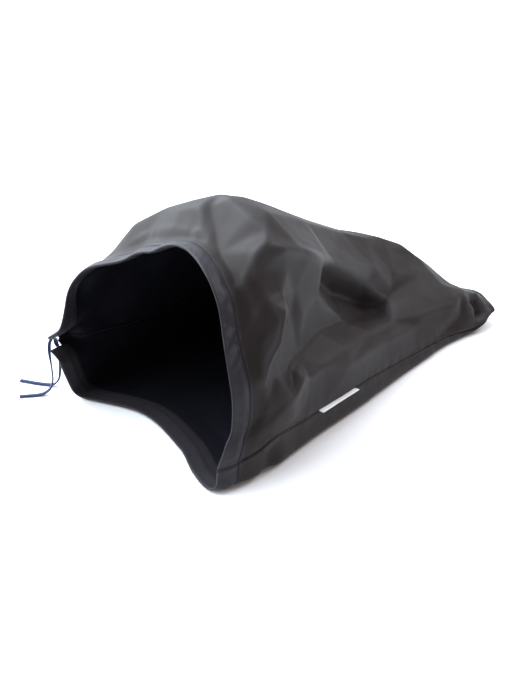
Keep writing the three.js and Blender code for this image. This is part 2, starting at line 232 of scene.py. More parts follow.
# Creases of the upper panel, between which the cloth is drawn flat: the corners of each as places around
# and along, and how far out of the folded cloth they stand.
CREASES = [
    [(0.53, 94, 4), (0.44, 110, 3), (0.44, 206, 5), (0.45, 291, 5), (0.425, 338, 4)],
    [(0.445, 88, 0), (0.398, 89, 0), (0.36, 119, -1), (0.335, 189, 3)],
    [(0.36, 31, 2), (0.35, 47, 3), (0.345, 58, 4), (0.365, 66, 4), (0.37, 78, 4)],
    [(0.37, 78, 4), (0.358, 92, 4), (0.338, 139, 4), (0.335, 189, 3)],
    [(0.345, 58, 4), (0.315, 56, 3), (0.28, 60, 2)],
    [(0.323, 100, -6), (0.285, 88, -8), (0.27, 116, -10), (0.225, 110, -10)],
    [(0.316, 165, 3), (0.325, 210, 5), (0.278, 282, 6), (0.188, 309, 6)],
    [(0.316, 165, 3), (0.252, 166, -2), (0.218, 128, -5)],
    [(0.288, 205, -9), (0.258, 240, -13), (0.22, 290, -12)],
    [
        (0.193, 296, -10), (0.195, 262, -15), (0.187, 226, -16), (0.17, 170, -13), (0.14, 120, -10),
        (0.125, 92, -7),
    ],
    [(0.13, 290, -3), (0.12, 240, -5), (0.107, 185, -4), (0.095, 140, -1)],
    [(0.4, 328, 4), (0.307, 301, 6), (0.278, 282, 6)],
    [(0.38, 362, -8), (0.3, 338, -15), (0.23, 325, 2), (0.188, 309, 6)],
    [(0.35, 380, -4), (0.3, 376, -3), (0.25, 380, 3), (0.17, 352, 3)],
    [(0.27, 400, 4), (0.2, 402, 3), (0.14, 394, 5), (0.108, 378, 8), (0.112, 342, 4)],
    [(0.15, 417, 3), (0.11, 404, 4), (0.052, 378, 3), (0.02, 345, 1)],
    [(0.12, 417, -3), (0.065, 406, -4), (0.025, 382, -3)],
    [(0.17, 428, -1), (0.13, 428, 7), (0.09, 427, 9), (0.04, 423, 6)],
    [(0.25, 70, 5), (0.205, 58, 6), (0.188, 46, 5), (0.158, 36, 3)],
    [(0.23, 44, -3), (0.18, 33, -2)],
    [(0.2, 82, -8), (0.165, 68, -6), (0.135, 54, -4)],
    [(0.098, 95, 4), (0.065, 75, 4), (0.03, 87, 2)],
    [(0.085, 112, -4), (0.045, 112, -3)],
    [(0.105, 44, 3), (0.045, 58, 4), (0.015, 74, 2)],
    [(0.55, 80, -3), (0.497, 59, -3), (0.455, 39, -2)],
    [(0.565, 73, 3), (0.532, 53, 3), (0.5, 32, 2)],
    [(0.772, 41, 2), (0.7, 49, 2), (0.615, 65, 2)],
    [(0.07, 180, 1), (0.08, 260, 1), (0.09, 330, 2)],
    [
        (0.8, 45, 1), (0.75, 63, 2), (0.68, 75, 3), (0.613, 85, 3), (0.575, 105, 3), (0.532, 125, 3),
        (0.5, 150, 3),
    ],
    [(0.5, 150, 3), (0.49, 205, 2), (0.5, 260, 2), (0.495, 305, 2), (0.475, 345, 3), (0.43, 367, 3)],
    [(0.43, 367, 3), (0.385, 387, 4), (0.34, 405, 5), (0.3, 424, 5), (0.25, 446, 3)],
    [(0.95, 60, 3), (0.88, 120, 3), (0.81, 210, 3), (0.78, 270, 3)],
    [(0.9, 190, -3), (0.83, 270, -3), (0.8, 340, -2)],
    [(0.7, 130, 3), (0.66, 210, 3), (0.63, 300, 3), (0.6, 380, 2)],
    [(0.94, 270, 3), (0.84, 345, 3), (0.7, 410, 2)],
    [(0.8, 80, -2), (0.74, 170, -2), (0.72, 250, -2)],
]

# A hollow and a roll at the near corner of the closed end, each along a line
TIP_FOLDS = table(
    "aroundFrom alongFrom aroundTo alongTo depth width",
    [
        (0.12, 440, 0.045, 437, -7, 8),
        (0.03, 446, 0.14, 450, 4, 8),
    ],
)

# The same corner is pulled in, and its cloth below a height is turned up: where across and along the bag
# this starts and where it is full
CORNER_PULL, CORNER_LIFT, CORNER_TOP = 8, 14, 23
CORNER_ACROSS, CORNER_ALONG = (95, 132), (410, 462)

# Drawing the cloth flat: corners on the panel's rim, how far it goes, and where it fades at the mouth, the
# seams and the closed end
RIM_STEPS_AROUND, RIM_STEPS_ALONG = 14, 12
FLAT_SHARE = 0.85
FLAT_MOUTH, FLAT_SEAM, FLAT_TIP = (24, 46), (0, 0.03), (415, 452)
CREASE_BLUR = 1
CORNERS_MEET, FACET_EDGE = 1e-4, 1e-6

# Where the small waves and puckers begin behind the mouth
FINE_FROM = (24, 36)

# Small waves all over the cloth: size, height and seed of each
CRUMPLES = table("size height seed", [(95, 0.8, 3.1), (40, 0.35, 11.7), (17, 0.12, 23.3)])

sections = {}


def section(along, offset):
    """One section of the bag as a closed line, from the near ground edge over the top and back below."""
    key = (round(float(along), 3), offset)
    if key not in sections:
        sections[key] = make_section(along, offset)
    return sections[key]


def make_section(along, offset):
    def value(column):
        return float(read(SECTIONS["along"], SECTIONS[column], along))

    near, far = value("near") + offset, value("far") + offset
    ridge, under = value("ridge"), value("under")
    rise = value("crown") - under + 2 * offset
    lift = (CASING_HALF - WALL / 2) * (1 - float(smoothstep(along, CASING_WIDTH, 2 * CASING_WIDTH)))

    def ground(x):
        q = np.where(x > ridge, (x - ridge) / (near - ridge), (ridge - x) / (far + ridge))
        curled = value("curl") * smoothstep(x, CURL_FROM * near, near)
        return WALL / 2 + lift - offset + under * (1 - q**UNDER_ROUND) + curled

    angle = np.pi * np.arange(ARCH_POINTS) / ARCH_POINTS
    power = 2 / np.where(angle < np.pi / 2, value("nearFill"), value("farFill"))
    across = np.sign(np.cos(angle)) * np.abs(np.cos(angle)) ** power
    x = ridge + across * np.where(across > 0, near - ridge, far + ridge)
    arch = np.stack([x, ground(x) + rise * np.sin(angle) ** power], -1)
    x = -far + (near + far) * np.arange(GROUND_POINTS) / GROUND_POINTS
    loop = np.concatenate([arch, np.stack([x, ground(x)], -1), arch[:1]])
    length = np.concatenate([[0], np.cumsum(np.linalg.norm(np.diff(loop, axis=0), axis=1))])
    total = length[-1]
    at = total * np.arange(LOOP_POINTS) / LOOP_POINTS
    even = np.stack([np.interp(at, length, loop[:, 0]), np.interp(at, length, loop[:, 1])], -1)
    roll = round(min(EDGE_ROLL, rise * EDGE_ROLL_SHARE) / total * LOOP_POINTS)
    soft = sum(np.roll(even, k, axis=0) for k in range(-roll, roll + 1)) / (2 * roll + 1)
    near_seam = value("nearSeam") + offset
    far_seam = length[ARCH_POINTS] - value("farSeam") - offset
    return dict(
        points=soft,
        near=near,
        far=far,
        total=total,
        near_seam=near_seam,
        far_seam=far_seam,
        upper=far_seam - near_seam,
    )


def girth(turn, along):
    """The width of the upper or the lower panel at a section."""
    s = section(along, 0)
    return s["upper"] if turn % 2 < 1 else s["total"] - s["upper"]


def smooth(turns, alongs, offset=0.0):
    """The cloth before folding: a grid of places, a row for each along and a column for each turn."""
    turns = np.mod(np.asarray(turns, float), 2)
    back = read(MOUTH["around"], MOUTH["back"], turns)
    made = np.empty((len(alongs), len(turns), 3))
    for row, along in zip(made, alongs):
        s = section(along, offset)
        over = s["near_seam"] + s["upper"] * turns
        below = s["far_seam"] + (s["total"] - s["upper"]) * (turns - 1)
        place = np.mod(np.where(turns <= 1, over, below) / s["total"] * LOOP_POINTS, LOOP_POINTS)
        k = np.floor(place).astype(int) % LOOP_POINTS
        t = (place - np.floor(place))[:, None]
        p = s["points"][k] * (1 - t) + s["points"][(k + 1) % LOOP_POINTS] * t
        v = along / BAG_LENGTH
        across = (p[:, 0] + s["far"]) / (s["near"] + s["far"])
        reach = read(CLOSED_END["across"], CLOSED_END["reach"], across) * smoothstep(v, END_FROM, 1)
        row[:, 0] = p[:, 0]
        row[:, 1] = along + back * (1 - smoothstep(v, 0, MOUTH_FADE)) + reach
        row[:, 2] = p[:, 1]
    return made


def outward(surface, turns, alongs):
    """The way out of a surface of the bag, from places a short step to each side."""
    turns, alongs = np.asarray(turns, float), np.asarray(alongs, float)
    across = surface(turns + STEP_AROUND, alongs) - surface(turns - STEP_AROUND, alongs)
    ahead = surface(turns, np.minimum(alongs + STEP_ALONG, BAG_LENGTH))
    way = np.cross(ahead - surface(turns, np.maximum(alongs - STEP_ALONG, 0)), across)
    return way / np.linalg.norm(way, axis=-1, keepdims=True)


def unrolled(turns, alongs):
    """The grid's places on the cloth laid flat, with a mean girth."""
    return np.stack(np.meshgrid(np.mod(turns, 2) * FOLD_GIRTH, alongs), -1)


def from_line(places, start_turn, start_along, end_turn, end_along):
    """How far each place of the unrolled cloth is from a straight line on it."""
    start = np.array([start_turn * FOLD_GIRTH, start_along])
    way = np.array([end_turn * FOLD_GIRTH, end_along]) - start
    t = np.clip(((places - start) @ way) / (way @ way), 0, 1)
    return np.linalg.norm(places - start - t[..., None] * way, axis=-1)


def upper_only(turns, alongs):
    """Folds die away at the near seam, just past the far seam and at the closed end."""
    turns = np.mod(turns, 2)
    sides = smoothstep(turns, *FOLD_NEAR) * (1 - smoothstep(turns, *FOLD_FAR))
    return sides[None, :] * (1 - smoothstep(alongs, *FOLD_END))[:, None]


def profile(away, width, soft):
    """A fold's height over its depth: a roll, or straight sides that meet the cloth in a soft bend."""
    if soft:
        return np.exp(-((away / width) ** 2))
    rise = 1 - away / width
    return (rise + np.hypot(rise, CREASE_FOOT)) / (1 + math.hypot(1, CREASE_FOOT))


def fold(turns, alongs):
    """How far the main folds move the cloth outwards."""
    places = unrolled(turns, alongs)
    out = np.zeros(places.shape[:2])
    for *line, depth, width, soft in zip(*FOLDS.values()):
        away = np.hypot(from_line(places, *line), FOLD_ROUND) - FOLD_ROUND
        out += depth * profile(away, width, soft)
    return out * upper_only(turns, alongs)


def tip_fold(turns, alongs):
    """How far the folds of the closed end's near corner move the cloth outwards."""
    places = unrolled(turns, alongs)
    out = np.zeros(places.shape[:2])
    for *line, depth, width in zip(*TIP_FOLDS.values()):
        out += depth * profile(from_line(places, *line), width, True)
    return out * upper_only(turns, alongs)


def folded(turns, alongs):
    """The middle of the folded cloth."""
    return smooth(turns, alongs) + outward(smooth, turns, alongs) * fold(turns, alongs)[..., None]


def cloth(turns, alongs, height, extra=0.0):
    """The cloth at a height above its middle, with extra fine folds. Where it is drawn flat at the closed
    end, its two skins are sections of their own."""
    square = folded(turns, alongs) + outward(folded, turns, alongs) * np.asarray(height + extra)[..., None]
    at_end = smoothstep(alongs, FLAT_FROM, FLAT_FROM + FLAT_BLEND)[:, None, None]
    if not at_end.any():
        return square
    out = (fold(turns, alongs) + extra)[..., None]
    flat = smooth(turns, alongs, height) + outward(smooth, turns, alongs) * out
    return square * (1 - at_end) + flat * at_end


def facet_corners():
    """The corners of the creases and of the upper panel's rim, and which corners a crease joins."""
    corners, ties = [], []
    for line in CREASES:
        first = len(corners)
        corners += line
        ties += [(k, k + 1) for k in range(first, len(corners) - 1)]
    lap = CASING_WIDTH - CASING_LAP
    for turn in np.linspace(0, 1, RIM_STEPS_AROUND):
        corners += [(turn, lap, 0), (turn, BAG_LENGTH, 0)]
    for along in np.linspace(lap, BAG_LENGTH, RIM_STEPS_ALONG)[1:-1]:
        corners += [(0, along, 0), (1, along, 0)]
    return corners, ties


def faceted(turns, alongs):
    """The upper panel with its cloth drawn flat between the creases."""
    corners, ties = facet_corners()
    spread = [Vector((turn * FOLD_GIRTH, along)) for turn, along, _ in corners]
    spread, _, facets, origins, _, _ = delaunay_2d_cdt(spread, ties, [], 0, CORNERS_MEET)
    spread = np.array(spread)
    solid = []
    for (x, along), origin in zip(spread, origins):
        turn, along = [x / FOLD_GIRTH], np.array([along])
        way = outward(folded, turn, along)[0, 0]
        solid.append(folded(turn, along)[0, 0] + way * corners[origin[0]][2])
    solid = np.array(solid)
    places = unrolled(turns, alongs)
    made = np.zeros((*places.shape[:2], 3))
    for facet in facets:
        a, b, c = spread[facet]
        parts = np.linalg.inv(np.stack([b - a, c - a], -1))
        share = (places - a) @ parts.T
        weights = np.stack([1 - share.sum(-1), share[..., 0], share[..., 1]], -1)
        inside = (weights > -FACET_EDGE).all(-1)
        made[inside] = weights[inside] @ solid[facet]
    return np.stack([blurred(made[..., k], CREASE_BLUR) for k in range(3)], -1)


def drawn_flat(turns, alongs):
    """How far each place of the upper panel moves as its cloth is drawn flat between the creases."""
    lengthways = smoothstep(alongs, *FLAT_MOUTH) * (1 - smoothstep(alongs, *FLAT_TIP))
    sideways = smoothstep(turns, *FLAT_SEAM) * smoothstep(1 - turns, *FLAT_SEAM)
    share = FLAT_SHARE * lengthways[:, None] * sideways[None, :]
    return (faceted(turns, alongs) - folded(turns, alongs)) * share[..., None]


# Making meshes

SHARP_EDGE = 60


def make_piece(name, places, faces, materials, flat, wear=None, inside=None, sharp=SHARP_EDGE):
    """A piece that rides on the part's one body. flat: each vertex on the cloth laid flat, in millimetres;
    wear: how rubbed each vertex is; inside: which faces take the second material; sharp: in degrees."""
    mesh = bpy.data.meshes.new(name)
    mesh.from_pydata(points(places).tolist(), [], faces.tolist())
    for material in materials:
        mesh.materials.append(material)
    if inside is not None:
        mesh.polygons.foreach_set("material_index", inside.astype(np.int32))
    corners = np.empty(len(mesh.loops), np.int32)
    mesh.loops.foreach_get("vertex_index", corners)
    layer = mesh.uv_layers.new(name="cloth")
    layer.uv.foreach_set("vector", (flat[corners] * MM).astype(np.float32).ravel())
    if wear is not None:
        mesh.attributes.new("wear", "FLOAT", "POINT").data.foreach_set("value", wear.astype(np.float32))
    mesh.shade_smooth()
    mesh.set_sharp_from_angle(angle=math.radians(sharp))
    mesh.validate()
    piece = bpy.data.objects.new(name, mesh)
    bpy.context.scene.collection.objects.link(piece)
    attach(piece, "root")
    return piece


def tube_faces(rings, sides):
    """Faces joining rings of points, each ring to the next, with the two open ends capped by ladders."""
    r, k = np.meshgrid(np.arange(rings - 1), np.arange(sides), indexing="ij")
    m = (k + 1) % sides
    here, ahead = r * sides, (r + 1) * sides
    walls = np.stack([here + k, ahead + k, ahead + m, here + m], -1).reshape(-1, 4)
    k = np.arange(sides // 2 - 1)
    start = np.stack([k, k + 1, sides - 2 - k, sides - 1 - k], -1)
    end = start[:, ::-1] + (rings - 1) * sides
    return np.concatenate([walls, start, end])


# Materials

THREAD = 0.0007

# A wave texture of scale 1 has this many bands to tau units
WAVE_UNITS = 20

# Uneven colour, patchy wear, soft ripples, the weave's relief and the shine of every cloth
CLOUD_SCALE, CLOUD_DETAIL, CLOUD_RANGE = 16, 4, (0.3, 0.7)
GRAIN_SCALE, GRAIN_DETAIL = 900, 2
RIPPLE_SCALE, RIPPLE_DETAIL, RIPPLE_STRENGTH, RIPPLE_HEIGHT = 55, 4, 0.25, 0.0016
WEAVE_STRENGTH, WEAVE_HEIGHT = 0.35, 0.00012
ROUGHNESS_RANGE = 0.16
CLOTH_SPECULAR = 0.11
SHEEN_ROUGHNESS, SHEEN_TINT = 0.45, (0.88, 0.93, 1, 1)


def new_material(name):
    material = bpy.data.materials.new(name)
    material.use_nodes = True
    nodes, links = material.node_tree.nodes, material.node_tree.links
    return material, nodes, links, nodes["Principled BSDF"]


def ramp(nodes, links, value, low, high, colours):
    """A value turned into a colour between two."""
    node = nodes.new("ShaderNodeValToRGB")
    for element, place, colour in zip(node.color_ramp.elements, (low, high), colours):
        element.position = place
        element.color = (*colour, 1)
    links.new(value, node.inputs["Fac"])
    return node.outputs["Color"]


def noise_texture(nodes, links, coordinates, scale, detail):
    node = nodes.new("ShaderNodeTexNoise")
    node.inputs["Scale"].default_value = scale
    node.inputs["Detail"].default_value = detail
    links.new(coordinates, node.inputs["Vector"])
    return node.outputs["Fac"]


def math_node(nodes, links, operation, first, second):
    node = nodes.new("ShaderNodeMath")
    node.operation = operation
    for socket, value in zip(node.inputs, (first, second)):
        if isinstance(value, (int, float)):
            socket.default_value = value
        else:
            links.new(value, socket)
    return node.outputs["Value"]


def bands(nodes, links, coordinates, direction, pitch):
    """Threads side by side, a pitch apart in metres."""
    node = nodes.new("ShaderNodeTexWave")
    node.bands_direction = direction
    node.inputs["Scale"].default_value = math.tau / (WAVE_UNITS * pitch)
    node.inputs["Distortion"].default_value = 0
    links.new(coordinates, node.inputs["Vector"])
    return node.outputs["Fac"]


def bump(nodes, links, height, strength, distance, before=None):
    node = nodes.new("ShaderNodeBump")
    node.inputs["Strength"].default_value = strength
    node.inputs["Distance"].default_value = distance
    links.new(height, node.inputs["Height"])
    if before is not None:
        links.new(before, node.inputs["Normal"])
    return node.outputs["Normal"]


def woven(name, dark, light, worn, roughness, sheen, thread=THREAD):
    """Plain woven cloth: two sets of threads, uneven colour, rubbed folds and a soft sheen."""
    material, nodes, links, shader = new_material(name)
    coordinates = nodes.new("ShaderNodeTexCoord")
    flat, place = coordinates.outputs["UV"], coordinates.outputs["Object"]
    warp = bands(nodes, links, flat, "X", thread)
    weft = bands(nodes, links, flat, "Y", thread)
    weave = math_node(nodes, links, "MULTIPLY", warp, weft)
    clouds = noise_texture(nodes, links, place, CLOUD_SCALE, CLOUD_DETAIL)
    grains = noise_texture(nodes, links, flat, GRAIN_SCALE, GRAIN_DETAIL)
    base = ramp(nodes, links, clouds, *CLOUD_RANGE, (dark, light))
    rubbed = nodes.new("ShaderNodeMix")
    rubbed.data_type = "RGBA"
    wear = nodes.new("ShaderNodeAttribute")
    wear.attribute_name = "wear"
    patchy = math_node(nodes, links, "MULTIPLY", wear.outputs["Fac"], grains)
    links.new(patchy, rubbed.inputs["Factor"])
    links.new(base, rubbed.inputs["A"])
    rubbed.inputs["B"].default_value = (*worn, 1)
    links.new(rubbed.outputs["Result"], shader.inputs["Base Color"])
    uneven = math_node(nodes, links, "MULTIPLY_ADD", clouds, ROUGHNESS_RANGE)
    uneven.node.inputs[2].default_value = roughness - ROUGHNESS_RANGE / 2
    links.new(uneven, shader.inputs["Roughness"])
    shader.inputs["Specular IOR Level"].default_value = CLOTH_SPECULAR
    shader.inputs["Sheen Weight"].default_value = sheen
    shader.inputs["Sheen Roughness"].default_value = SHEEN_ROUGHNESS
    shader.inputs["Sheen Tint"].default_value = SHEEN_TINT
    ripples = noise_texture(nodes, links, flat, RIPPLE_SCALE, RIPPLE_DETAIL)
    soft = bump(nodes, links, ripples, RIPPLE_STRENGTH, RIPPLE_HEIGHT)
    links.new(bump(nodes, links, weave, WEAVE_STRENGTH, WEAVE_HEIGHT, soft), shader.inputs["Normal"])
    return material


bag_cloth = woven(
    "bag_cloth", dark=(0.016, 0.012, 0.0115), light=(0.021, 0.0163, 0.0158), worn=(0.04, 0.036, 0.037),
    roughness=0.45, sheen=0.02,
)
# The bag's inside face: the outer cloth's colours made darker and bluer, painted shade for the shadowed
# inside of the bag
bag_inside_painted_shade = woven(
    "bag_inside_painted_shade", dark=(0.005, 0.005, 0.0075), light=(0.0075, 0.0075, 0.0115), worn=(0.012, 0.012, 0.018),
    roughness=0.42, sheen=0.02,
)
casing_cloth = woven(
    "casing_cloth", dark=(0.0165, 0.0142, 0.017), light=(0.0215, 0.0187, 0.0225), worn=(0.047, 0.044, 0.05),
    roughness=0.4, sheen=0.06,
)
cord_braid = woven(
    "cord_braid", dark=(0.010, 0.018, 0.055), light=(0.017, 0.030, 0.088), worn=(0.05, 0.07, 0.14),
    roughness=0.75, sheen=0.25, thread=0.0005,
)
label_tape = woven(
    "label_tape", dark=(0.90, 0.90, 0.90), light=(0.94, 0.94, 0.94), worn=(0.95, 0.95, 0.95),
    roughness=0.65, sheen=0.1, thread=0.0004,
)
stitch_thread = woven(
    "thread", dark=(0.003, 0.003, 0.004), light=(0.005, 0.005, 0.006), worn=(0.01, 0.01, 0.01),
    roughness=0.6, sheen=0.02, thread=0.0003,
)


# Drawcord ends: flat braids, from the casing down to the ground and out to the cut

CORD_WIDTH, CORD_THICK, CORD_ALONG = 5, 2, 13
EXIT_HALF = 7
TWIST = (0.1, 0.45)
CORD_SIDES, CORD_STEP = 28, 0.4
CURVE_STEPS = 40

# The power that makes the cord's section squarer than an oval
CORD_CORNERS = 0.6

BRAID_PITCH, BRAID_RELIEF, BRAID_WEAR = 2.6, 0.16, 0.5
UPPER_ROUTE = [
    (-136.4, -2, 78.85),
    (-139.2, -3, 76),
    (-142, -4.8, 71.8),
    (-144.2, -6, 65),
    (-145.2, -6.2, 55),
    (-145.4, -5.4, 43),
    (-145.6, -4.6, 30),
    (-146, -4.6, 18),
    (-148, -7.4, 8.2),
    (-152, -13, 2.7),
    (-156.5, -19.2, 1.3),
    (-163, -27.2, 1.2),
    (-169, -34.5, 1.2),
]
LOWER_ROUTE = [
    (-135.2, -1.7, 64.7),
    (-138, -1.6, 67.3),
    (-141.4, 0.4, 69.1),
    (-144.8, 3.2, 68.6),
    (-147.6, 6, 65.2),
    (-149.4, 8.4, 59),
    (-150, 9.8, 49),
    (-150.2, 10.6, 37),
    (-150.6, 10.6, 24),
    (-152.2, 9.4, 12),
    (-157, 6.8, 4.2),
    (-164.5, 3, 1.4),
    (-178.5, -4.6, 1.2),
    (-195, -12, 1.2),
]


def curve_through(route, step):
    """Places a step apart on a smooth curve through a route."""
    route = np.array(route, float)
    knots = np.array([2 * route[0] - route[1], *route, 2 * route[-1] - route[-2]])
    t = np.linspace(0, 1, CURVE_STEPS, endpoint=False)[:, None]
    made = []
    for p, q, r, s in zip(knots, knots[1:], knots[2:], knots[3:]):
        square = (2 * p - 5 * q + 4 * r - s) * t**2
        cube = (3 * q - p - 3 * r + s) * t**3
        made.append(0.5 * (2 * q + (r - p) * t + square + cube))
    line = np.concatenate([*made, route[-1:]])
    length = np.concatenate([[0], np.cumsum(np.linalg.norm(np.diff(line, axis=0), axis=1))])
    at = np.linspace(0, length[-1], round(length[-1] / step) + 1)
    return np.stack([np.interp(at, length, line[:, k]) for k in range(3)], -1), at


def unit(ways):
    return ways / np.linalg.norm(ways, axis=-1, keepdims=True)


def along_faces(line, face):
    """The way ahead at each place of a line, and a face carried along it without twisting."""
    ahead = unit(np.gradient(line, axis=0))
    faces = [face]
    for way in ahead:
        faces.append(unit(faces[-1] - way * (faces[-1] @ way)))
    return ahead, np.array(faces[1:])


def cord_end(name, node, route):
    line, at = curve_through(route, CORD_STEP)
    line[:, 2] = np.maximum(line[:, 2], CORD_THICK / 2 + BRAID_RELIEF)
    start_face = outward(folded, [1.0], [float(CORD_ALONG)])[0, 0]
    ahead, face = along_faces(line, start_face)
    side = np.cross(ahead, face)
    turn = math.atan2(side[-1, 2], face[-1, 2])
    turn = (turn + math.pi / 2) % math.pi - math.pi / 2
    angle = (turn * smoothstep(at / at[-1], *TWIST))[:, None]
    up = face * np.cos(angle) + side * np.sin(angle)
    side = np.cross(ahead, up)
    round_angle = math.tau * (np.arange(CORD_SIDES) + 0.5) / CORD_SIDES
    x = np.sign(np.cos(round_angle)) * np.abs(np.cos(round_angle)) ** CORD_CORNERS * CORD_WIDTH / 2
    y = np.sign(np.sin(round_angle)) * np.abs(np.sin(round_angle)) ** CORD_CORNERS * CORD_THICK / 2
    strand = at[:, None] / BRAID_PITCH
    slant = np.abs(x)[None, :] / CORD_WIDTH * 2
    relief = BRAID_RELIEF * np.abs(np.sin(math.pi * (strand + slant)))
    grow = 1 - BRAID_RELIEF / CORD_THICK * 2 + relief / (CORD_THICK / 2)
    rings = line[:, None] + side[:, None] * x[None, :, None] + up[:, None] * (y * grow)[..., None]
    across = np.cumsum(np.abs(np.diff(x, append=x[0])))
    flat = np.stack(np.broadcast_arrays(across[None], at[:, None]), -1)
    wear = np.broadcast_to(relief / BRAID_RELIEF * BRAID_WEAR, rings.shape[:2])
    faces = tube_faces(len(line), CORD_SIDES)
    piece = make_piece(name, rings.reshape(-1, 3), faces, [cord_braid], flat.reshape(-1, 2), wear.ravel())
    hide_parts(node)


cord_end("cord_end_upper", "drawcord_end_upper", UPPER_ROUTE)
cord_end("cord_end_lower", "drawcord_end_lower", LOWER_ROUTE)


# Panels of the bag

NOTCH_ALONG, NOTCH_HALF, NOTCH_DEPTH = 60, 11, 5
NOTCH_FROM, NOTCH_TO = (0.8, 0.9), (0.95, 0.995)
SEAM_DIP, SEAM_HALF = 1.5, 2.4
SEAM_PUCKER, SEAM_PUCKER_REACH, SEAM_PUCKER_SIZE = 0.9, 16, 11
SEAM_SEED, LAP_SEED, FAR_SEAM_SHIFT = 40, 60, 500.0
INSIDE_FROM, INSIDE_TO = (340, 380), (452, 464)
RUB_REACH, RUB_HEIGHT = 5, 1.6
EDGE_PLACES = (0, 0.9, 1.8, 2.8, 4, 5.6, 7.6)
UPPER_STEPS, LOWER_STEPS, LENGTH_STEPS = 176, 64, 196


def panel_turns(start, steps):
    """Places across a panel, closer together beside its two seams."""
    edge = np.array(EDGE_PLACES) / FOLD_GIRTH
    inner = np.linspace(edge[-1], 1 - edge[-1], steps)
    return start + np.concatenate([edge[:-1], inner, 1 - edge[:-1][::-1]])


def panel_alongs():
    lap = CASING_WIDTH - CASING_LAP
    return np.concatenate([[lap], np.linspace(CASING_WIDTH - 1, BAG_LENGTH, LENGTH_STEPS)])


def fine_form(turns, alongs):
    """How far small waves, the side seams and the casing's seam move a panel outwards."""
    start = math.floor(turns[0])
    share = turns - start
    across = share[None, :] * FOLD_GIRTH
    length = alongs[:, None]
    turned = across + start * FOLD_GIRTH
    sizes = zip(*CRUMPLES.values())
    waves = sum(height * crumple(turned, length, size, seed) for size, height, seed in sizes)
    away = np.minimum(across, FOLD_GIRTH - across)
    nearest = np.where(share < 0.5, 0, FAR_SEAM_SHIFT)[None, :]
    gather = crumple(nearest, length, SEAM_PUCKER_SIZE, SEAM_SEED + start)
    puckers = SEAM_PUCKER * gather * np.exp(-away / SEAM_PUCKER_REACH)
    behind = length - CASING_WIDTH
    gather = crumple(across, np.zeros_like(length), SEAM_PUCKER_SIZE, LAP_SEED + start)
    puckers = puckers + SEAM_PUCKER * gather * np.exp(-behind / SEAM_PUCKER_REACH)
    moved = (waves + puckers) * smoothstep(alongs, *FINE_FROM)[:, None]
    if start == 0:
        moved = moved + tip_fold(turns, alongs)
    if start == 1:
        notch = NOTCH_DEPTH * np.exp(-(((length - NOTCH_ALONG) / NOTCH_HALF) ** 2))
        moved = moved - notch * smoothstep(share, *NOTCH_FROM) * (1 - smoothstep(share, *NOTCH_TO))
    fade = (1 - smoothstep(alongs, *FOLD_END))[:, None]
    return moved * fade - SEAM_DIP * np.exp(-((away / SEAM_HALF) ** 2)) * fade


def kept_inside(outer, inner, alongs):
    """The inner skin, a wall's thickness inside the outer one where the panel narrows to its closed end."""
    way = unit(np.cross(np.gradient(outer, axis=0), np.gradient(outer, axis=1)))
    share = smoothstep(alongs, *INSIDE_FROM) * (1 - smoothstep(alongs, *INSIDE_TO))
    return inner + (outer - way * WALL - inner) * share[:, None, None]


def turned_up(places):
    """The cloth with the near corner of the closed end pulled in and turned up."""
    share = smoothstep(places[..., 0], *CORNER_ACROSS) * smoothstep(places[..., 1], *CORNER_ALONG)
    low = np.clip(1 - places[..., 2] / CORNER_TOP, 0, 1)
    still = np.zeros_like(share)
    return places + np.stack([-CORNER_PULL * share, still, CORNER_LIFT * low * share], -1)


def panel(name, node, start, steps):
    turns, alongs = panel_turns(start, steps), panel_alongs()
    fine = fine_form(turns, alongs)
    moved = drawn_flat(turns, alongs) if start == 0 else 0
    skins = [cloth(turns, alongs, side * WALL / 2, fine) + moved for side in (1, -1)]
    if start == 0:
        skins[1] = kept_inside(*skins, alongs)
    for side, skin in zip((1, -1), skins):
        lowest = WALL / 2 - side * WALL / 2
        skin[..., 2] = np.maximum(skin[..., 2], lowest)
    skins = [turned_up(skin) for skin in skins]
    rings = np.concatenate([skins[0], skins[1][:, ::-1]], axis=1)
    across = len(turns)
    faces = tube_faces(len(alongs), 2 * across)
    flat = unrolled(turns - start, alongs)
    flat = np.concatenate([flat, flat[:, ::-1]], axis=1)
    height = fold(turns, alongs) + fine + (moved * outward(folded, turns, alongs)).sum(-1)
    rubbed = np.clip((height - blurred(height, RUB_REACH)) / RUB_HEIGHT, 0, 1)
    rubbed = np.concatenate([rubbed, np.zeros_like(rubbed)], axis=1)
    column = np.arange(len(faces)) % (2 * across)
    inside = (column >= across) & (np.arange(len(faces)) < (len(alongs) - 1) * 2 * across)
    # The inner skin's faces take the inside cloth, whose darker colour is painted shade
    cloths = [bag_cloth, bag_inside_painted_shade]
    places, flat = rings.reshape(-1, 3), flat.reshape(-1, 2)
    piece = make_piece(name, places, faces, cloths, flat, rubbed.ravel(), inside)
    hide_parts(node)
    widths = [girth(start + 0.5, along) for along in alongs]


panel("bag_upper", "upper_panel", 0, UPPER_STEPS)
panel("bag_lower", "lower_panel", 1, LOWER_STEPS)


# Casing round the mouth, a strip folded over the drawcord and stitched to the panels

EXIT_UPPER = 1 - EXIT_HALF / girth(0.5, 0)
EXIT_LOWER = 1 + EXIT_HALF / girth(1.5, 0)
CASING_STEPS = 640
CASING_TURNS = np.linspace(EXIT_LOWER, 2 + EXIT_UPPER, CASING_STEPS)
CASING = table(
    "along half alongIn halfIn",
    [
        (CASING_WIDTH, 0.95, CASING_WIDTH, 0.85),
        (CASING_WIDTH - CASING_LAP, 2.0, CASING_WIDTH - CASING_LAP, 1.3),
        (CORD_ALONG, 2.9, CORD_ALONG, 2.2),
        (6, 2.0, 6, 1.3),
        (1.2, 1.4, 1.9, 0.6),
        (0, 0.5, 1.1, 0.3),
    ],
)
CASING_ROWS = 4
STITCH_ALONG, STITCH_DIP, STITCH_HALF = 21, 0.9, 1.4
CROSS_DIP, CROSS_HALF = 1.2, 1.8
PUCKER, PUCKER_SIZE, PUCKER_SLANT = 1.0, 11, 0.7
